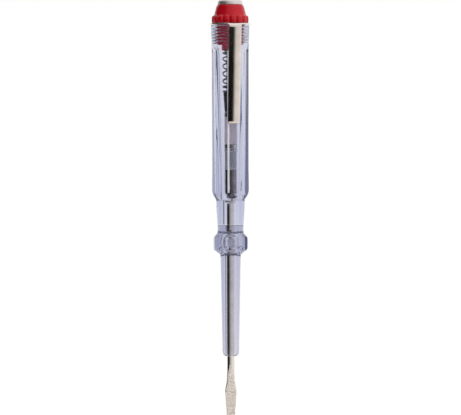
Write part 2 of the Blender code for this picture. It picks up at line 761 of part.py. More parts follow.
def clip_arm_line():
    """The arm's middle line as (outward, up, width): the fold, the long arm, the bump and the lifted tip."""
    middle = (ring_bottom + ring_top) / 2
    ridge = FLAT_APOTHEM / math.cos(half_facet)
    bump = ridge + CLIP_RIDGE_CLEARANCE + CLIP_THICKNESS / 2
    start = CLIP_TAB_REACH + CLIP_HINGE_GAP
    bend = CLIP_STAND_OFF - start
    end = middle - CLIP_ARM_LENGTH
    bump_height = end + CLIP_ARM_LENGTH * 0.03
    points = [(start, middle)]
    fold_steps = 4
    for i in range(1, fold_steps + 1):
        angle = i / fold_steps * math.pi / 2
        points.append((start + bend * math.sin(angle), middle - bend * (1 - math.cos(angle))))
    points += [
        (CLIP_STAND_OFF + (bump - CLIP_STAND_OFF) * 0.79, bump_height + CLIP_ARM_LENGTH * 0.2),
        (bump + (CLIP_STAND_OFF - bump) * 0.04, bump_height + CLIP_ARM_LENGTH * 0.04),
        (bump, bump_height),
        (bump + CLIP_TIP_LIFT * 0.3, bump_height - CLIP_ARM_LENGTH * 0.015),
        (bump + CLIP_TIP_LIFT, end),
    ]
    line = []
    for outward, up in points:
        share = (middle - up) / CLIP_ARM_LENGTH
        width = CLIP_ARM_TOP_WIDTH + (CLIP_ARM_END_WIDTH - CLIP_ARM_TOP_WIDTH) * share
        line.append((outward, up, width))
    return line


def make_clip_arm():
    bm = bmesh.new()
    rows = []
    for outward, up, width in clip_arm_line():
        rows.append([bm.verts.new((side * width / 2, outward, up)) for side in (-1, 1)])
    for (a, b), (c, d) in zip(rows, rows[1:]):
        bm.faces.new((a, b, d, c))
    bmesh.ops.transform(bm, verts=bm.verts, matrix=clip_frame())
    arm = from_bmesh("clip_arm", bm, "steel")
    wall = arm.modifiers.new("wall", "SOLIDIFY")
    wall.thickness = CLIP_THICKNESS
    wall.offset = 0
    wall.use_even_offset = True


for old in list(bpy.data.objects):
    bpy.data.objects.remove(old)
parts = make_collection("voltage_tester_screwdriver", False)
cutters = make_collection("voltage_tester_cutters", True)
make_handle()
make_sleeve()
make_blade()
make_lamp()
make_resistor()
make_cone()
make_spring()
make_washer()
make_stud()
make_cap()
make_clip_ring()
make_clip_arm()
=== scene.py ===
"""The look of a voltage tester screwdriver: clear handle, red cap, spring, lamp and blade.

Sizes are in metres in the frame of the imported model. +Z runs up the tool's axis from the
blade's tip, and -Y is the front.
"""

import math

import bmesh
import bpy
from mathutils import Matrix, Vector


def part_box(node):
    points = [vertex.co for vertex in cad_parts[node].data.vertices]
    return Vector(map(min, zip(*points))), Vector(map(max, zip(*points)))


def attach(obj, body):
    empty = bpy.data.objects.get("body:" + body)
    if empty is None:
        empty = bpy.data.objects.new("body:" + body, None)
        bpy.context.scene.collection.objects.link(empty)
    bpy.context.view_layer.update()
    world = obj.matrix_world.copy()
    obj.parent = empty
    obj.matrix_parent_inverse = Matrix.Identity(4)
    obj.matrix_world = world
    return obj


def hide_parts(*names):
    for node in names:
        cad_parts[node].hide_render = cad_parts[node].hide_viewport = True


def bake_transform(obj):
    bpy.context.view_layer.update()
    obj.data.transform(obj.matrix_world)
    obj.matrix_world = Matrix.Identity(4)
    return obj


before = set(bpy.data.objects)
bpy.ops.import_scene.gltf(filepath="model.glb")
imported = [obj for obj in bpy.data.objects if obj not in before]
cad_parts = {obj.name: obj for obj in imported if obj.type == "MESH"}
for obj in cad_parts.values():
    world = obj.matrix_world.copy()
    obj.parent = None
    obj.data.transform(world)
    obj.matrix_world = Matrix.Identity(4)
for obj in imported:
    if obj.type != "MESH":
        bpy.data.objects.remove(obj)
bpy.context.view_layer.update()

WELD = 0.000001

# Handle and guard
CLEAR_STEPS = 240
CLEAR_SHARP = 28
FACET = math.tau / 8
FACET_TURN = math.radians(-6.2)
HANDLE_APOTHEM = 0.0058
GUARD_APOTHEM = 0.00557
GUARD_TURN = math.radians(-16.5)
RIDGE_EASE = 0.00014
# Half the turn of the painted highlight either side of the handle's front and back ridges
HIGHLIGHT_RIDGE = math.radians(2.6)
RUNOUT_LENGTH = 0.0020
RUNOUT_RISE = 0.0009
NECK_BORE = 0.0021
LAMP_BORE = 0.0030
THREAD_BORE = 0.0048
SHANK_RADIUS = 0.00125

# Screw thread on the cap, and its groove in the handle
THREAD_PITCH = 0.00105
THREAD_CORE = 0.00435
THREAD_CREST = 0.0049
THREAD_TURNS = 6
THREAD_FOOT = 0.12494
THREAD_SINK = 0.0002
THREAD_HALVES = (0.00042, 0.00015)
GROOVE_FOOT = 0.1250
GROOVE_SINK = 0.00005
GROOVE_ROOM = 0.00007
GROOVE_HALVES = (0.0005, 0.00021)

# What lies in the bore
STACK_OFFSET = 0.0006
SPRING_RADIUS = 0.0023
SPRING_WIRE = 0.00058
SPRING_TURNS = 6.5
SPRING_END_GAP = 0.00045
SPRING_TILT = 0.22
SPRING_TILT_EASE = 0.004

# Cap
CAP_SEAT = 0.00012
RIM_HEIGHT = 0.0026
CAP_LOBES = 16
LOBE_ROOT = 0.00536
LOBE_EASE = 0.0008
LOBE_DEPTH = 0.0006
LOBE_SHOULDER = 0.0009

# Clip
CLIP_TURN = math.radians(12)
CLIP_LEAN = 0.007
CLIP_CAMBER = 0.00022
CLIP_INSET = 0.00012
SHEET = 0.00045

# Materials
PLASTIC_IOR = 1.49
# Long streaks along the axis in a colour's drift, painted reflections in place of those the bore
# casts on what lies in it
PAINTED_STREAKS = {"stretch": (1, 1, 0.06), "drift_scale": 2200}


def heights(node):
    """The lowest and highest point of a CAD node."""
    low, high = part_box(node)
    return low.z, high.z


cap_foot, cap_top = heights("screw_cap")
stud_foot, stud_top = heights("contact_stud")
ring_low, ring_high = heights("clip_ring")


# Outlines and meshes

def eased(outline, closed=False, steps=3):
    """The outline with each corner that gives a third number rounded over that length.

    A point beside each rounding keeps the shading of a long wall straight.
    """
    points = []
    count = len(outline)
    for i, corner in enumerate(outline):
        here = Vector(corner[:2])
        inside = closed or 0 < i < count - 1
        if len(corner) < 3 or not inside:
            points.append(tuple(here))
            continue
        before = Vector(outline[i - 1][:2]) - here
        after = Vector(outline[(i + 1) % count][:2]) - here
        start = here + before.normalized() * min(corner[2], before.length / 2)
        end = here + after.normalized() * min(corner[2], after.length / 2)
        if before.length > 3 * corner[2]:
            points.append(tuple(start + before.normalized() * corner[2] * 0.3))
        for step in range(steps + 1):
            t = step / steps
            points.append(tuple(start * (1 - t) ** 2 + here * 2 * t * (1 - t) + end * t**2))
        if after.length > 3 * corner[2]:
            points.append(tuple(end + after.normalized() * corner[2] * 0.3))
    return points


def lathe(outline, closed=False, steps=96, centre=0):
    """Spins an outline of (radius, height) about an axis along Z."""
    bm = bmesh.new()
    verts = [bm.verts.new((radius, 0, height)) for radius, height in outline]
    edges = [bm.edges.new(pair) for pair in zip(verts, verts[1:])]
    if closed:
        edges.append(bm.edges.new((verts[-1], verts[0])))
    bmesh.ops.spin(
        bm, geom=verts + edges, axis=(0, 0, 1), cent=(0, 0, 0),
        angle=math.tau, steps=steps, use_merge=True,
    )
    bmesh.ops.remove_doubles(bm, verts=bm.verts, dist=WELD)
    bmesh.ops.rotate(bm, verts=bm.verts, matrix=Matrix.Rotation(FACET_TURN - math.pi / 2, 3, "Z"))
    bmesh.ops.translate(bm, verts=bm.verts, vec=(centre, 0, 0))
    return bm


def placed(name, data):
    """A new object in the scene."""
    made = bpy.data.objects.new(name, data)
    bpy.context.scene.collection.objects.link(made)
    return made


def piece(name, bm, look, body, *nodes, sharp=35):
    """A finished piece that rides on its body and stands for its CAD nodes."""
    bmesh.ops.remove_doubles(bm, verts=bm.verts, dist=WELD)
    bmesh.ops.recalc_face_normals(bm, faces=bm.faces)
    mesh = bpy.data.meshes.new(name)
    bm.to_mesh(mesh)
    bm.free()
    made = placed(name, mesh)
    mesh.shade_smooth()
    mesh.set_sharp_from_angle(angle=math.radians(sharp))
    mesh.materials.append(look)
    if body:
        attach(made, body)
    if nodes:
        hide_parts(*nodes)
    return made


def carve(made, tool, operation="DIFFERENCE", sharp=35):
    """Cuts or joins a second mesh and leaves the result in the piece's own mesh."""
    change = made.modifiers.new("carve", "BOOLEAN")
    change.operation = operation
    change.object = tool
    change.solver = "EXACT"
    bpy.context.view_layer.update()
    old = made.data
    finished = made.evaluated_get(bpy.context.evaluated_depsgraph_get())
    made.data = bpy.data.meshes.new_from_object(finished)
    made.modifiers.clear()
    made.data.name = made.name
    bpy.data.meshes.remove(old)
    bpy.data.objects.remove(tool)
    made.data.shade_smooth()
    made.data.set_sharp_from_angle(angle=math.radians(sharp))


def soft_least(a, b, ease):
    """The lesser of two lengths, with an eased change from one to the other."""
    near = max(ease - abs(a - b), 0) / ease
    return min(a, b) - near * near * ease / 4


def cut_flats(bm, apothem_at, low, high, least, ridge_turn):
    """Presses eight flats into a turned body, between two heights and outside a least radius."""
    for vert in bm.verts:
        radius = math.hypot(vert.co.x, vert.co.y)
        if radius < least or not low <= vert.co.z <= high:
            continue
        turn = math.atan2(vert.co.x, -vert.co.y) - ridge_turn
        off = turn % FACET - FACET / 2
        pressed = soft_least(radius, apothem_at(vert.co.z) / math.cos(off), RIDGE_EASE)
        vert.co.x *= pressed / radius
        vert.co.y *= pressed / radius


def helix(radius_in, radius_out, half_in, half_out, low, turns, steps=64):
    """A screw thread's ridge, swept from one section, with half its height inside and outside."""
    bm = bmesh.new()
    section = (
        (radius_in, half_in), (radius_out, half_out), (radius_out, -half_out),
        (radius_in, -half_in),
    )
    verts = [bm.verts.new((radius, 0, low + height)) for radius, height in section]
    face = bm.faces.new(verts)
    bmesh.ops.spin(
        bm, geom=[face, *face.edges, *verts], axis=(0, 0, 1), cent=(0, 0, 0),
        dvec=(0, 0, THREAD_PITCH / steps), angle=turns * math.tau, steps=round(turns * steps),
    )
    bmesh.ops.remove_doubles(bm, verts=bm.verts, dist=WELD)
    return bm


# Materials

def material(name):
    """A new material, its node tree, its shader and the object's coordinates."""
    made = bpy.data.materials.new(name)
    made.use_nodes = True
    tree = made.node_tree
    shader = tree.nodes["Principled BSDF"]
    place = tree.nodes.new("ShaderNodeTexCoord")
    return made, tree, shader, place.outputs["Object"]


def noise(tree, place, scale, detail=3, stretch=(1, 1, 1)):
    """Noise whose features are about 1 / scale metres across, longer where stretch is under 1."""
    mapping = tree.nodes.new("ShaderNodeMapping")
    mapping.inputs["Scale"].default_value = stretch
    tree.links.new(place, mapping.inputs["Vector"])
    made = tree.nodes.new("ShaderNodeTexNoise")
    made.inputs["Scale"].default_value = scale
    made.inputs["Detail"].default_value = detail
    tree.links.new(mapping.outputs["Vector"], made.inputs["Vector"])
    return made.outputs["Fac"]


def spread(tree, value, low, high, start=0.3, end=0.7):
    """Maps a noise value from start and end to low and high."""
    made = tree.nodes.new("ShaderNodeMapRange")
    made.inputs["From Min"].default_value = start
    made.inputs["From Max"].default_value = end
    made.inputs["To Min"].default_value = low
    made.inputs["To Max"].default_value = high
    tree.links.new(value, made.inputs["Value"])
    return made.outputs["Result"]


def shades(tree, value, *stops):
    """A colour ramp of (position, colour)."""
    made = tree.nodes.new("ShaderNodeValToRGB")
    ramp = made.color_ramp
    for i, (position, colour) in enumerate(stops):
        stop = ramp.elements[i] if i < 2 else ramp.elements.new(position)
        stop.position = position
        stop.color = (*colour, 1)
    tree.links.new(value, made.inputs["Fac"])
    return made.outputs["Color"]


def bump(tree, shader, height, depth):
    """Roughens a shader's surface by a height up to a depth."""
    made = tree.nodes.new("ShaderNodeBump")
    made.inputs["Distance"].default_value = depth
    tree.links.new(height, made.inputs["Height"])
    tree.links.new(made.outputs["Normal"], shader.inputs["Normal"])


def clear_plastic(name, tint, roughness, density, depth_tint=(0.22, 0.28, 0.6)):
    """Clear plastic with faint flow lines and a worn polish, which gains colour with depth."""
    made, tree, shader, place = material(name)
    shader.inputs["Transmission Weight"].default_value = 1
    shader.inputs["IOR"].default_value = PLASTIC_IOR
    cloud = noise(tree, place, 160, detail=2, stretch=(1, 1, 0.3))
    pale = tuple(1 - (1 - c) * 0.75 for c in tint)
    tree.links.new(shades(tree, cloud, (0.35, tint), (0.65, pale)), shader.inputs["Base Color"])
    rub = noise(tree, place, 900, detail=4, stretch=(1, 1, 0.12))
    tree.links.new(spread(tree, rub, roughness * 0.4, roughness * 1.8), shader.inputs["Roughness"])
    bump(tree, shader, noise(tree, place, 260, detail=1, stretch=(1, 1, 0.15)), 0.000006)
    if density:
        depth = tree.nodes.new("ShaderNodeVolumeAbsorption")
        depth.inputs["Color"].default_value = (*depth_tint, 1)
        depth.inputs["Density"].default_value = density
        tree.links.new(depth.outputs["Volume"], tree.nodes["Material Output"].inputs["Volume"])
    return made


def painted_highlight(name, tint, share):
    """The same plastic painted white as a highlight, with a share of it still clear."""
    made, tree, shader, place = material(name)
    shader.inputs["Base Color"].default_value = (*tint, 1)
    shader.inputs["Transmission Weight"].default_value = share
    shader.inputs["IOR"].default_value = PLASTIC_IOR
    rub = noise(tree, place, 1200, detail=4, stretch=(1, 1, 0.1))
    tree.links.new(spread(tree, rub, 0.2, 0.5), shader.inputs["Roughness"])
    bump(tree, shader, rub, 0.00001)
    return made


def metal(name, dark, light, roughness, grain, mottle=300, stretch=(1, 1, 1), depth=0.000004):
    """Metal whose colour drifts between two shades, with a grain in its polish."""
    made, tree, shader, place = material(name)
    shader.inputs["Metallic"].default_value = 1
    drift = noise(tree, place, mottle, detail=4)
    tree.links.new(shades(tree, drift, (0.35, dark), (0.65, light)), shader.inputs["Base Color"])
    lines = noise(tree, place, grain, detail=4, stretch=stretch)
    polish = spread(tree, lines, roughness * 0.7, roughness * 1.4)
    tree.links.new(polish, shader.inputs["Roughness"])
    bump(tree, shader, lines, depth)
    return made


def blasted(name, dark, light, metal_share):
    """Steel roughened to a pale, pebbled satin, with a share of it still bright metal."""
    made, tree, shader, place = material(name)
    shader.inputs["Metallic"].default_value = metal_share
    pebbles = noise(tree, place, 2600, detail=2)
    tree.links.new(shades(tree, pebbles, (0.38, dark), (0.6, light)), shader.inputs["Base Color"])
    tree.links.new(spread(tree, pebbles, 0.45, 0.3), shader.inputs["Roughness"])
    bump(tree, shader, pebbles, 0.00002)
    return made


def moulded(name, dark, light, roughness, coat=0.0, shine=0.5, stretch=(1, 1, 1), drift_scale=220):
    """Opaque moulded or lacquered material with a fine orange peel."""
    made, tree, shader, place = material(name)
    shader.inputs["Specular IOR Level"].default_value = shine
    shader.inputs["Coat Weight"].default_value = coat
    shader.inputs["Coat Roughness"].default_value = 0.08
    drift = noise(tree, place, drift_scale, detail=4, stretch=stretch)
    tree.links.new(shades(tree, drift, (0.3, dark), (0.7, light)), shader.inputs["Base Color"])
    skin = noise(tree, place, 2500)
    polish = spread(tree, skin, roughness * 0.8, roughness * 1.25)
    tree.links.new(polish, shader.inputs["Roughness"])
    bump(tree, shader, skin, 0.000005)
    return made


handle_plastic = clear_plastic("handle_plastic", (0.95, 0.95, 0.98), 0.02, 100)
# Painted highlight: whitened, half-clear plastic for the strip of light down the handle's front
# and back ridges
ridge_highlight_plastic = painted_highlight("ridge_highlight_plastic", (0.98, 0.98, 0.99), 0.2)
sleeve_plastic = clear_plastic(
    "sleeve_plastic", (0.95, 0.95, 0.98), 0.03, 150, depth_tint=(0.24, 0.27, 0.54)
)
lamp_glass = clear_plastic("lamp_glass", (0.93, 0.94, 0.97), 0.01, 0)
red_plastic = moulded("red_plastic", (0.46, 0.001, 0.010), (0.54, 0.003, 0.014), 0.14, shine=0.4)
# The same red plastic, painted brighter and pinker for the threaded skirt in place of lamp light
# the clear handle keeps from it
red_thread_brightened = moulded("red_thread_brightened", (0.58, 0.018, 0.055), (0.68, 0.03, 0.08), 0.25)
# The contact's pink tint is a painted reflection of the red cap; its mottle and grain are its own
contact_chrome = metal("contact_chrome", (0.82, 0.76, 0.76), (0.90, 0.86, 0.85), 0.48, 3000)
clip_chrome = metal(
    "clip_chrome", (0.84, 0.75, 0.68), (0.94, 0.86, 0.79), 0.05, 2200,
    stretch=(1, 1, 0.04), depth=0.000002,
)
blade_steel = metal(
    "blade_steel", (0.84, 0.77, 0.69), (0.95, 0.89, 0.82), 0.06, 5200,
    stretch=(1, 1, 0.3), depth=0.0000012,
)
ground_steel = blasted("ground_steel", (0.62, 0.53, 0.45), (1.0, 0.93, 0.84), 0.25)
# The wings' steel, painted white and matt in place of light the clear guard keeps from them
wing_steel_brightened = blasted("wing_steel_brightened", (0.70, 0.68, 0.70), (1.0, 1.0, 1.0), 0.0)
spring_steel = metal("spring_steel", (0.16, 0.16, 0.22), (0.26, 0.25, 0.31), 0.2, 4000)
tinned_steel = metal("tinned_steel", (0.62, 0.60, 0.60), (0.80, 0.78, 0.76), 0.22, 3500)
dull_steel = metal("dull_steel", (0.30, 0.26, 0.30), (0.42, 0.37, 0.41), 0.2, 2600)
lamp_dark = metal("lamp_dark", (0.22, 0.17, 0.20), (0.36, 0.30, 0.33), 0.16, 1800, mottle=500)
lamp_bright = moulded(
    "lamp_bright", (0.66, 0.66, 0.68), (0.86, 0.86, 0.88), 0.3, coat=0.4, **PAINTED_STREAKS
)
white_ceramic = moulded("white_ceramic", (0.95, 0.94, 0.93), (1.0, 1.0, 0.99), 0.35, coat=0.5)
mauve_lacquer = moulded(
    "mauve_lacquer", (0.66, 0.54, 0.59), (1.0, 0.90, 0.93), 0.3, coat=0.5, **PAINTED_STREAKS
)


# Handle and sleeve

def make_handle():
    """The clear barrel: round and flared at its thread, eight-sided below, with a stepped bore."""
    neck_foot, top = heights("handle_body")
    flats_low, flats_high, flats_inside = 0.0722, top - 0.0069, 0.00482
    runout_low = top - 0.0072 - RUNOUT_LENGTH
    highlight_low, highlight_high, highlight_inside = 0.0750, top - 0.0086, 0.0060
    outside = [
        (THREAD_BORE + 0.0003, top), (0.00648, top, 0.00012), (0.00644, top - 0.0016),
        (0.006375, top - 0.0037), (0.00631, top - 0.0050), (0.00629, top - 0.0062),
        (0.00628, top - 0.0068), (0.00628, top - 0.0072), (0.00628, top - 0.0076),
        (0.00628, top - 0.0080), (0.00628, top - 0.0084), (0.00628, top - 0.0088),
        (0.00627, top - 0.0094), (0.00625, top - 0.0120), (0.00624, top - 0.0250),
        (0.00617, top - 0.0340), (0.00616, top - 0.0490), (0.00625, top - 0.0522),
        (0.00626, top - 0.0550),
    ]
    shoulder = [
        (0.00626, 0.0762), (0.00624, 0.0758), (0.00619, 0.0755), (0.00614, 0.0752),
        (0.00606, 0.0749), (0.00597, 0.0746), (0.00586, 0.0743), (0.00573, 0.0740),
        (0.00560, 0.07375), (0.00544, 0.0735), (0.00527, 0.07325), (0.00510, 0.0730),
        (0.00496, 0.0728), (0.00486, 0.07255), (0.00481, 0.0722), (0.00481, 0.0704, 0.0006),
        (0.00457, 0.0675, 0.001), (0.00442, neck_foot, 0.0001),
    ]
    inside = [
        (NECK_BORE, neck_foot), (NECK_BORE, 0.0726), (LAMP_BORE, 0.0727, 0.0009), (0.0045, 0.1240),
        (THREAD_BORE, 0.1248), (THREAD_BORE, top - 0.0003),
    ]
    bm = lathe(eased(outside + shoulder + inside, closed=True), closed=True, steps=CLEAR_STEPS)

    def apothem(height):
        rise = min(max((height - runout_low) / RUNOUT_LENGTH, 0), 1)
        return HANDLE_APOTHEM + RUNOUT_RISE * rise * rise

    cut_flats(bm, apothem, flats_low, flats_high, flats_inside, FACET_TURN)
    shell = piece("handle_barrel", bm, handle_plastic, None, sharp=CLEAR_SHARP)
    # The faces along the front and back ridges take the painted highlight, a whitened strip in
    # place of the light the rounded ridge catches
    shell.data.materials.append(ridge_highlight_plastic)
    for face in shell.data.polygons:
        middle = face.center
        turn = (math.atan2(middle.x, -middle.y) - FACET_TURN + math.pi / 2) % math.pi - math.pi / 2
        outer = math.hypot(middle.x, middle.y) > highlight_inside
        if outer and highlight_low < middle.z < highlight_high and abs(turn) < HIGHLIGHT_RIDGE:
            face.material_index = 1
    groove_in, groove_out = THREAD_BORE - GROOVE_SINK, THREAD_CREST + GROOVE_ROOM
    groove = helix(groove_in, groove_out, *GROOVE_HALVES, GROOVE_FOOT, THREAD_TURNS + 1)
    carve(shell, piece("groove_tool", groove, handle_plastic, None), sharp=CLEAR_SHARP)
    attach(shell, "handle")
    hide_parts("handle_body")


def make_sleeve():
    """The clear sleeve on the blade: a collar, an eight-sided guard and a long tapered tube.

    The bore widens to an oval hollow round the blade's wings.
    """
    sleeve_foot, top = heights("blade_sleeve")
    guard_low, guard_high, guard_inside = 0.0545, 0.0612, 0.0040
    outline = [
        (0.00442, top, 0.0001), (0.00432, top - 0.00135, 0.0008), (0.00436, top - 0.0022, 0.0004),
        (0.00452, top - 0.0028, 0.0003), (0.00502, top - 0.0033), (0.00603, top - 0.0043, 0.0005),
        (0.00603, 0.0563, 0.0006), (0.00561, 0.0557), (0.00485, 0.0552), (0.00399, 0.0546),
        (0.00348, 0.0541, 0.0004), (0.00338, 0.0530), (0.00310, 0.0388), (0.00284, 0.0238),
        (0.00282, 0.0224), (0.00279, 0.0217), (0.00270, 0.0211), (0.00254, 0.0206),
        (0.00233, 0.0203), (0.00208, 0.0201), (0.00183, 0.01998), (0.00160, sleeve_foot),
        (0.00150, sleeve_foot), (0.00150, 0.0549), (0.00205, 0.0552), (0.00248, 0.0557),
        (0.00278, 0.0564), (0.00293, 0.0572), (0.00298, 0.0580), (0.00293, 0.0588),
        (0.00278, 0.0596), (0.00248, 0.0603), (0.00205, 0.0608), (0.00132, 0.0611), (0.00132, top),
    ]
    bm = lathe(eased(outline, closed=True), closed=True, steps=CLEAR_STEPS)
    cut_flats(bm, lambda height: GUARD_APOTHEM, guard_low, guard_high, guard_inside, GUARD_TURN)
    piece("sleeve_shell", bm, sleeve_plastic, "handle", "blade_sleeve", sharp=CLEAR_SHARP)


# Blade

def forged_at(table, height):
    """Half width and half thickness at a height, from rows of height and both."""
    for (low, w0, t0), (high, w1, t1) in zip(table, table[1:]):
        if height <= high + WELD:
            break
    share = min(max((height - low) / (high - low), 0), 1)
    return w0 + (w1 - w0) * share, t0 + (t1 - t0) * share


def make_blade():
    """A round shank, forged and ground to a straight tip, with two wings pressed out of it."""
    flat_facing, wing_width = 0.93, 0.0018
    # (height, half width, half thickness)
    forged = (
        (0, 0.00146, 0.00022), (0.00004, 0.0015, 0.00025), (0.0017, 0.0015, 0.00029),
        (0.0030, 0.00168, 0.00033), (0.0037, 0.00177, 0.00035), (0.00506, 0.00181, 0.00038),
        (0.0064, 0.00188, 0.00042), (0.0074, 0.00197, 0.00046), (0.0084, 0.00192, 0.00051),
        (0.0094, 0.00176, 0.00057), (0.0101, 0.00160, 0.00063), (0.0110, 0.00146, 0.00072),
        (0.0118, 0.00138, 0.00082), (0.0132, 0.00130, 0.00099), (0.0145, 0.00126, 0.00113),
        (0.0158, 0.00125, 0.00122), (0.0170, 0.00125, 0.00125),
    )
    pressed = (
        (0.0562, 0.00125, 0.00125), (0.0566, 0.00145, 0.00095), (0.0570, 0.00175, 0.0005),
        (0.0572, 0.0018, 0.00045), (0.0590, 0.0018, 0.00045), (0.0592, 0.00175, 0.0005),
        (0.0596, 0.00145, 0.00095), (0.0600, 0.00125, 0.00125),
    )
    blade_top = heights("blade")[1]
    shank = [blade_top - 0.0011, blade_top - 0.0012, 0.0602]
    shank += [height for height, width, thickness in reversed(pressed)]
    shank += [0.0560, 0.0300]
    shank += [height for height, width, thickness in reversed(forged)]
    outline = [(0, blade_top), (0.0019, blade_top, 0.0002), (0.0019, blade_top - 0.0005, 0.0002)]
    outline += [(SHANK_RADIUS, height) for height in shank]
    bm = lathe(eased(outline) + [(0, 0)])
    top = forged[-1][0]
    for vert in bm.verts:
        radius = math.hypot(vert.co.x, vert.co.y)
        if radius < WELD:
            continue
        if vert.co.z <= top + WELD:
            width, thickness = forged_at(forged, vert.co.z)
            power = 0.2 + 0.8 * min(max(vert.co.z / top, 0), 1) ** 1.6
        elif pressed[0][0] - WELD < vert.co.z < pressed[-1][0] + WELD:
            width, thickness = forged_at(pressed, vert.co.z)
            power = 1 - 0.6 * (width - SHANK_RADIUS) / (wing_width - SHANK_RADIUS)
        else:
            continue
        across, deep = vert.co.x / radius, vert.co.y / radius
        vert.co.x = math.copysign(width * abs(across) ** power, across)
        vert.co.y = math.copysign(thickness * abs(deep) ** power, deep)
    rod = piece("blade_steel_rod", bm, blade_steel, "handle", "blade", sharp=50)
    rod.data.materials.append(ground_steel)
    # The wings inside the guard take the brightened steel, painted light for what reaches them
    # through the plastic
    rod.data.materials.append(wing_steel_brightened)
    for face in rod.data.polygons:
        if pressed[0][0] < face.center.z < pressed[-1][0]:
            face.material_index = 2
        elif abs(face.normal.y) > flat_facing and face.center.z < top:
            face.material_index = 1


# Lamp, resistor, cone and spring

def inner(name, outline, look, body, *nodes, closed=False, steps=72, centre=STACK_OFFSET):
    """A turned piece. What is stacked in the bore lies against its wall, a little off the axis."""
    return piece(name, lathe(eased(outline, closed), closed, steps, centre), look, body, *nodes)


def make_lamp():
    """A glass round two cups with a bead between, and a cap above and a pin below."""
    low, high = heights("lamp_glass")
    glass = [
        (0.0020, high, 0.0001), (0.0023, high, 0.0001), (0.0023, low + 0.0019, 0.0012),
        (0.0016, low + 0.0004, 0.0008), (0.0009, low, 0.0003), (0.00045, low),
        (0.00045, low + 0.0003), (0.0012, low + 0.0005, 0.0006), (0.0020, low + 0.0021, 0.0010),
    ]
    inner("lamp_tube", glass, lamp_glass, "handle", "lamp_glass", closed=True)
    for name, look in (("lamp_lower_electrode", lamp_dark), ("lamp_upper_electrode", lamp_bright)):
        foot, head = heights(name)
        outline = [
            (0, head), (0.00175, head, 0.0002), (0.00175, foot, 0.0001), (0.00145, foot, 0.0001),
            (0.00145, head - 0.0003, 0.0001), (0, head - 0.0003),
        ]
        inner(name + "_cup", outline, look, "handle", name)
    foot, head = heights("lamp_bead")
    bead = [(0.0019, head, 0.0001), (0.0019, foot, 0.0001), (0.0005, foot), (0.0005, head)]
    inner("lamp_bead_ring", bead, white_ceramic, "handle", "lamp_bead", closed=True)
    foot, head = heights("lamp_top_cap")
    disc = [
        (0, head), (0.0015, head), (0.00235, head - 0.0001, 0.0002), (0.00235, foot, 0.0002),
        (0, foot),
    ]
    inner("lamp_end_cap", disc, tinned_steel, "handle", "lamp_top_cap")
    foot, head = heights("lamp_base_pin")
    pin = [
        (0, head), (0.00035, head, 0.0001), (0.00035, foot + 0.0002), (0.00025, foot, 0.0001),
        (0, foot),
    ]
    inner("lamp_foot_pin", pin, tinned_steel, "handle", "lamp_base_pin", steps=32)


def make_resistor():
    """A ceramic rod in lacquer, with a pressed cap on each end."""
    foot, head = heights("resistor_rod")
    rod = [(0, head), (0.00135, head, 0.0001), (0.00135, foot, 0.0001), (0, foot)]
    inner("resistor_core", rod, white_ceramic, "handle", "resistor_rod")
    foot, head = heights("resistor_coat")
    middle = (foot + head) / 2
    coat = [
        (0.00145, head), (0.00205, head, 0.0001), (0.00214, head - 0.0008, 0.0006),
        (0.00208, middle, 0.002), (0.00214, foot + 0.0008, 0.0006), (0.00205, foot, 0.0001),
        (0.00145, foot),
    ]
    inner("resistor_body", coat, mauve_lacquer, "handle", "resistor_coat", closed=True)
    for name, way in (("resistor_lower_cap", 1), ("resistor_upper_cap", -1)):
        foot, head = heights(name)
        shut, lip = (foot, head) if way > 0 else (head, foot)
        outline = [
            (0, shut + way * 0.00035), (0.00145, shut + way * 0.00035), (0.00145, lip),
            (0.0022, lip, 0.00015), (0.0022, shut, 0.0003), (0, shut),
        ]
        inner(name + "_cup", outline, tinned_steel, "handle", name)


def make_cone():
    """A hollow, tapered contact with a rim, between the resistor and the spring."""
    low, high = heights("contact_cone")
    outline = [
        (0, low + 0.0004), (0.001, low + 0.0004), (0.0018, high), (0.0027, high, 0.0001),
        (0.0027, high - 0.0003, 0.0001), (0.0022, high - 0.0003, 0.0001), (0.0014, low, 0.0003),
        (0, low),
    ]
    inner("spring_seat", outline, dull_steel, "handle", "contact_cone", centre=0)


def make_spring():
    """One wire, wound in quarter turns: close at both ends and open between."""
    spring_low, spring_high = heights("contact_spring")
    bm = bmesh.new()
    low = spring_low + SPRING_WIRE / 2
    rise = spring_high - spring_low - SPRING_WIRE
    close, steps = SPRING_WIRE + SPRING_END_GAP, 12
    count = round(SPRING_TURNS * 4)
    shares = [min(max((min(i, count - 1 - i) - 3) / 2, 0), 1) for i in range(count)]
    open_pitch = (rise - sum((1 - s) * close / 4 for s in shares)) / sum(s / 4 for s in shares)
    start = Matrix.Translation((SPRING_RADIUS, 0, low)) @ Matrix.Rotation(math.pi / 2, 4, "X")
    bmesh.ops.create_circle(bm, cap_ends=False, segments=14, radius=SPRING_WIRE / 2, matrix=start)
    last = bm.verts[:] + bm.edges[:]
    for share in shares:
        pitch = close + (open_pitch - close) * share
        last = bmesh.ops.spin(
            bm, geom=last, axis=(0, 0, 1), cent=(0, 0, 0), dvec=(0, 0, pitch / 4 / steps),
            angle=math.pi / 2, steps=steps,
        )["geom_last"]
    bmesh.ops.remove_doubles(bm, verts=bm.verts, dist=WELD)
    bmesh.ops.holes_fill(bm, edges=bm.edges, sides=0)
    bmesh.ops.rotate(bm, verts=bm.verts, matrix=Matrix.Rotation(-math.pi / 2, 3, "Z"))
    for vert in bm.verts:
        from_end = min(vert.co.z - spring_low, spring_high - vert.co.z)
        ease = min(max(from_end / SPRING_TILT_EASE, 0), 1)
        vert.co.z -= SPRING_TILT * vert.co.y * ease
    coil = piece("spring_wire", bm, spring_steel, None)
    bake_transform(coil)
    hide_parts("contact_spring")


# Cap and contact

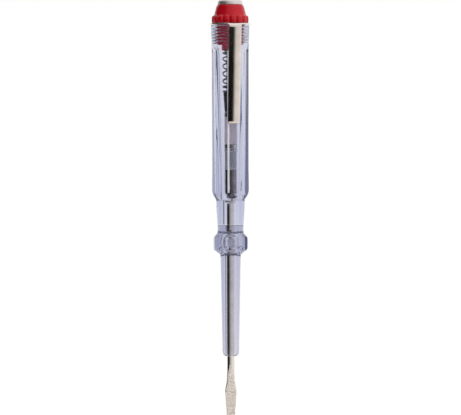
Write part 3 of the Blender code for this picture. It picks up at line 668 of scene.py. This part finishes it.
def make_cap():
    """The red cap: a dome on a rim of sixteen lobes, and a threaded skirt below."""
    foot, top = ring_high + CAP_SEAT, cap_top
    rim = foot + RIM_HEIGHT
    boss = cap_foot + 0.00115
    outline = [
        (0.0014, top), (0.0043, top, 0.0001), (0.00455, top - 0.00035), (0.00486, top - 0.0011),
        (0.00495, top - 0.0017), (0.00519, top - 0.0024), (0.00532, top - 0.0031),
        (0.00538, rim + 0.0002), (0.0055, rim), (0.0058, rim - 0.0001), (0.0060, rim - 0.0002),
        (0.00618, rim - 0.0004), (0.00628, rim - 0.0007), (0.0063, rim - 0.0012),
        (0.0063, foot + 0.0004), (0.0062, foot + 0.0001), (0.0061, foot), (THREAD_CORE, foot),
        (THREAD_CORE, boss, 0.0002), (0.00285, boss), (0.00285, cap_foot, 0.0002),
        (0.0014, cap_foot),
    ]
    bm = lathe(eased(outline, closed=True), closed=True, steps=256)
    for vert in bm.verts:
        radius = math.hypot(vert.co.x, vert.co.y)
        if radius < LOBE_ROOT or not foot - WELD <= vert.co.z <= rim + 0.00025:
            continue
        turn = math.atan2(vert.co.x, -vert.co.y) / math.tau * CAP_LOBES
        off = abs(turn % 1 - 0.5) * 2
        share = min((radius - LOBE_ROOT) / LOBE_EASE, 1)
        if vert.co.z > rim - LOBE_SHOULDER:
            vert.co.z -= LOBE_DEPTH * off**2 * share
        pulled = radius - LOBE_DEPTH * off**4 * share
        vert.co.x *= pulled / radius
        vert.co.y *= pulled / radius
    cap = piece("cap_shell", bm, red_plastic, None, sharp=40)
    ridge_in = THREAD_CORE - THREAD_SINK
    thread = helix(ridge_in, THREAD_CREST, *THREAD_HALVES, THREAD_FOOT, THREAD_TURNS)
    carve(cap, piece("thread_tool", thread, red_plastic, None), "UNION", sharp=40)
    # The skirt below the rim takes the brightened red, painted light for what the lamps can't
    # reach
    cap.data.materials.append(red_thread_brightened)
    for face in cap.data.polygons:
        if face.center.z < foot:
            face.material_index = 1
    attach(cap, "cap")
    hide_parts("screw_cap")


def make_stud():
    """The chrome contact, riveted through the cap, and the washer below it."""
    low, high = cap_top + 0.0001, stud_top
    outline = [
        (0, high), (0.0031, high), (0.0034, high - 0.00003), (0.00366, high - 0.0001),
        (0.0039, high - 0.00025), (0.00406, high - 0.0005), (0.00416, high - 0.00085),
        (0.00423, high - 0.0013), (0.00423, low, 0.0001), (0.0013, low),
        (0.0013, stud_foot + 0.0006), (0.0019, stud_foot + 0.0006, 0.0001),
        (0.0017, stud_foot + 0.0002, 0.0003), (0.0010, stud_foot), (0, stud_foot),
    ]
    inner("contact_button", outline, contact_chrome, "cap", "contact_stud", steps=128, centre=0)
    foot, head = heights("stud_washer")
    ring = [(0.00275, head, 0.0001), (0.00275, foot, 0.0001), (0.0014, foot), (0.0014, head)]
    inner("button_washer", ring, tinned_steel, "cap", "stud_washer", closed=True, centre=0)


# Clip

def make_clip():
    """A pressed strip: a ring under the cap, a wide fold, and an arm that leans in and flares."""
    outline = [
        (0.00515, ring_high), (0.0070, ring_high, 0.00012), (0.0070, ring_low, 0.00012),
        (0.00515, ring_low),
    ]
    inner(
        "clip_washer", outline, clip_chrome, "clip_ring", "clip_ring",
        closed=True, steps=128, centre=0,
    )
    middle = (ring_low + ring_high) / 2
    # (outward, down, width) along the strip's middle
    line = [
        (0.0058, 0, 0.0068), (0.0068, 0, 0.0066), (0.0074, 0, 0.0064), (0.0078, 0.00004, 0.0060),
        (0.00812, 0.00016, 0.0052), (0.00838, 0.0004, 0.0047), (0.00849, 0.0007, 0.00445),
        (0.00849, 0.0010, 0.00438), (0.008465, 0.0014, 0.00436), (0.00837, 0.0030, 0.00435),
        (0.00803, 0.0085, 0.00435), (0.00739, 0.0190, 0.00425), (0.00708, 0.0240, 0.00418),
        (0.00693, 0.0265, 0.00414), (0.00678, 0.0290, 0.00412), (0.00666, 0.0310, 0.0041),
        (0.00656, 0.0326, 0.00409), (0.00653, 0.0332, 0.00408), (0.00656, 0.0335, 0.00402),
        (0.00666, 0.03365, 0.0037),
    ]
    bm = bmesh.new()
    bmesh.ops.create_grid(bm, x_segments=8, y_segments=len(line) - 1, size=0.5)
    for vert in bm.verts:
        across = vert.co.x * 2
        outward, down, width = line[round((0.5 - vert.co.y) * (len(line) - 1))]
        camber = CLIP_CAMBER * (1 - across * across) * min(down / 0.0005, 1)
        lean = -CLIP_LEAN * max(down - 0.001, 0)
        vert.co = (across * width / 2 + lean, -(outward - CLIP_INSET + camber), middle - down)
    bmesh.ops.rotate(bm, verts=bm.verts, matrix=Matrix.Rotation(CLIP_TURN, 3, "Z"))
    strip = piece("clip_strip", bm, clip_chrome, None, sharp=60)
    wall = strip.modifiers.new("wall", "SOLIDIFY")
    wall.thickness = SHEET * 0.96
    wall.offset = 0
    smooth = strip.modifiers.new("smooth", "SUBSURF")
    smooth.levels = smooth.render_levels = 2
    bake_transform(strip)
    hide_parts("clip_arm")


# Floor, light and camera

def feed(tree, sockets, values):
    """Gives each socket its value, which is a number, a colour or another node's socket."""
    for socket, value in zip(sockets, values):
        if isinstance(value, tuple):
            socket.default_value = (*value, 1)
        elif isinstance(value, (int, float)):
            socket.default_value = value
        else:
            tree.links.new(value, socket)


def blend_of(tree, share, first, second, way="MIX"):
    """A mix of two colours."""
    made = tree.nodes.new("ShaderNodeMixRGB")
    made.blend_type = way
    feed(tree, made.inputs, (share, first, second))
    return made.outputs["Color"]


def sum_of(tree, operation, first, second):
    """The result of one operation on two numbers."""
    made = tree.nodes.new("ShaderNodeMath")
    made.operation = operation
    feed(tree, made.inputs, (first, second))
    return made.outputs[0]


def none_of(tree, count):
    """1 where a count of bounces is 0, and otherwise 0."""
    return sum_of(tree, "SUBTRACT", 1.0, sum_of(tree, "MINIMUM", count, 1.0))


def ramp_of(tree, turn, walls):
    """Brightness around the studio, from (degrees to the right of the front, level)."""
    warm = (1, 0.99, 0.98)
    stops = (((at + 180) / 360, tuple(level * share for share in warm)) for at, level in walls)
    return shades(tree, turn, *stops)


def make_floor():
    """A pale disc just under the tool, which keeps its shadow and is lifted for the camera."""
    bm = bmesh.new()
    bmesh.ops.create_circle(bm, cap_ends=True, segments=96, radius=0.2)
    mesh = bpy.data.meshes.new("floor")
    bm.to_mesh(mesh)
    bm.free()
    floor = placed("floor", mesh)
    floor.location.z = -0.00002
    made, tree, shader, place = material("floor_white")
    shader.inputs["Base Color"].default_value = (0.85, 0.85, 0.85, 1)
    shader.inputs["Roughness"].default_value = 0.9
    rays = tree.nodes.new("ShaderNodeLightPath")
    tree.links.new(rays.outputs["Is Camera Ray"], shader.inputs["Emission Strength"])
    shader.inputs["Emission Color"].default_value = (0.5, 0.5, 0.5, 1)
    mesh.materials.append(made)


def make_world():
    """A studio with a dark card on its left, bright walls on its right and behind, and soft light.

    The studio shows in mirrored light and in light turned inside the clear plastic. Diffuse light
    comes from a plain grey, and what lies straight behind the plastic is as white as the page.
    """
    around = (
        (-180, 1.0), (-140, 1.0), (-120, 0.03), (-85, 0.015), (-62, 0.02), (-36, 0.03),
        (-27, 0.42), (0, 0.60), (28, 0.80), (60, 0.82), (99, 0.85), (150, 1.0), (180, 1.0),
    )
    below = (
        (-180, 1.0), (-128, 1.0), (-104, 0.03), (-85, 0.015), (18, 0.005), (22, 0.22), (28, 0.66),
        (45, 0.80), (99, 0.85), (150, 1.0), (180, 1.0),
    )
    black, white = (0.0, 0.0, 0.0), (1.0, 1.0, 1.0)
    ceiling, grey, wall_light = (0.95, 0.95, 0.95), (0.52, 0.52, 0.52), (0.36, 0.36, 0.37)
    most_walls = 3.5

    world = bpy.data.worlds.new("studio")
    bpy.context.scene.world = world
    world.use_nodes = True
    tree = world.node_tree
    place = tree.nodes.new("ShaderNodeTexCoord")
    split = tree.nodes.new("ShaderNodeSeparateXYZ")
    tree.links.new(place.outputs["Generated"], split.inputs[0])
    rays = tree.nodes.new("ShaderNodeLightPath")
    camera_ray = rays.outputs["Is Camera Ray"]
    mirrored = rays.outputs["Is Glossy Ray"]
    through = rays.outputs["Is Transmission Ray"]

    # The walls all round, what lies lower, and the ceiling
    toward = sum_of(tree, "MULTIPLY", split.outputs["Y"], -1.0)
    turn = sum_of(tree, "ARCTAN2", split.outputs["X"], toward)
    turn = spread(tree, turn, 0, 1, -math.pi, math.pi)
    low = spread(tree, split.outputs["Z"], 1, 0, -0.07, -0.05)
    studio = blend_of(tree, low, ramp_of(tree, turn, around), ramp_of(tree, turn, below))
    high = spread(tree, split.outputs["Z"], 0, 1, 0.75, 0.9)
    studio = blend_of(tree, high, studio, ceiling)

    # Light turned inside the plastic is never quite dark, unless it went through many walls
    few = sum_of(tree, "SUBTRACT", most_walls, rays.outputs["Transmission Depth"])
    few = sum_of(tree, "MINIMUM", sum_of(tree, "MAXIMUM", few, 0.0), 1.0)
    least = blend_of(tree, sum_of(tree, "MULTIPLY", through, few), black, wall_light)
    studio = blend_of(tree, 1.0, studio, least, "LIGHTEN")

    # Only light that met no matt surface shows the studio
    sharp = sum_of(tree, "MAXIMUM", mirrored, through)
    clean = sum_of(tree, "MULTIPLY", sharp, none_of(tree, rays.outputs["Diffuse Depth"]))
    lit = blend_of(tree, clean, blend_of(tree, through, grey, white), studio)

    # The page, and what shows of it straight through the plastic
    straight = sum_of(tree, "MULTIPLY", through, none_of(tree, rays.outputs["Glossy Depth"]))
    page = sum_of(tree, "MAXIMUM", camera_ray, straight)
    seen = blend_of(tree, page, lit, white)
    tree.links.new(seen, tree.nodes["Background"].inputs["Color"])


def make_lamps():
    """Two wide soft lamps for the opaque pieces, the stronger one from the right."""
    # (name, degrees to the right of the front, degrees up, distance, width, watts)
    for name, turn, rise, distance, width, power in (
        ("key_lamp", 60, 35, 1.0, 0.7, 5.5), ("fill_lamp", -20, 20, 1.2, 0.9, 0.3),
    ):
        data = bpy.data.lights.new(name, "AREA")
        data.shape = "SQUARE"
        data.size = width
        data.energy = power
        lamp = placed(name, data)
        out = Vector((0, -math.cos(math.radians(rise)), math.sin(math.radians(rise))))
        out.rotate(Matrix.Rotation(math.radians(turn), 3, "Z"))
        lamp.location = out * distance + Vector((0, 0, stud_top / 2))
        lamp.rotation_euler = out.to_track_quat("Z", "Y").to_euler()
        lamp.visible_glossy = lamp.visible_transmission = False


def make_camera():
    """A long lens at the photograph's angle, its picture as high as the tool."""
    distance, view_height, roll, sensor = 1.6, 0.140, math.radians(0.124), 36
    picture_width, picture_height = 461, 415
    data = bpy.data.cameras.new("camera")
    camera = placed("camera", data)
    data.sensor_width = sensor
    data.lens = sensor * distance / (view_height * picture_width / picture_height)
    camera.location = (0, -distance, view_height / 2)
    camera.rotation_euler = (math.pi / 2, roll, 0)
    data.clip_start, data.clip_end = 0.01, 10
    bpy.context.scene.camera = camera


make_handle()
make_sleeve()
make_blade()
make_lamp()
make_resistor()
make_cone()
make_spring()
make_cap()
make_stud()
make_clip()
make_floor()
make_world()
make_lamps()
make_camera()
bpy.context.scene.view_settings.view_transform = "Standard"
cycles = bpy.context.scene.cycles
cycles.max_bounces = cycles.transmission_bounces = 24
cycles.glossy_bounces = 12
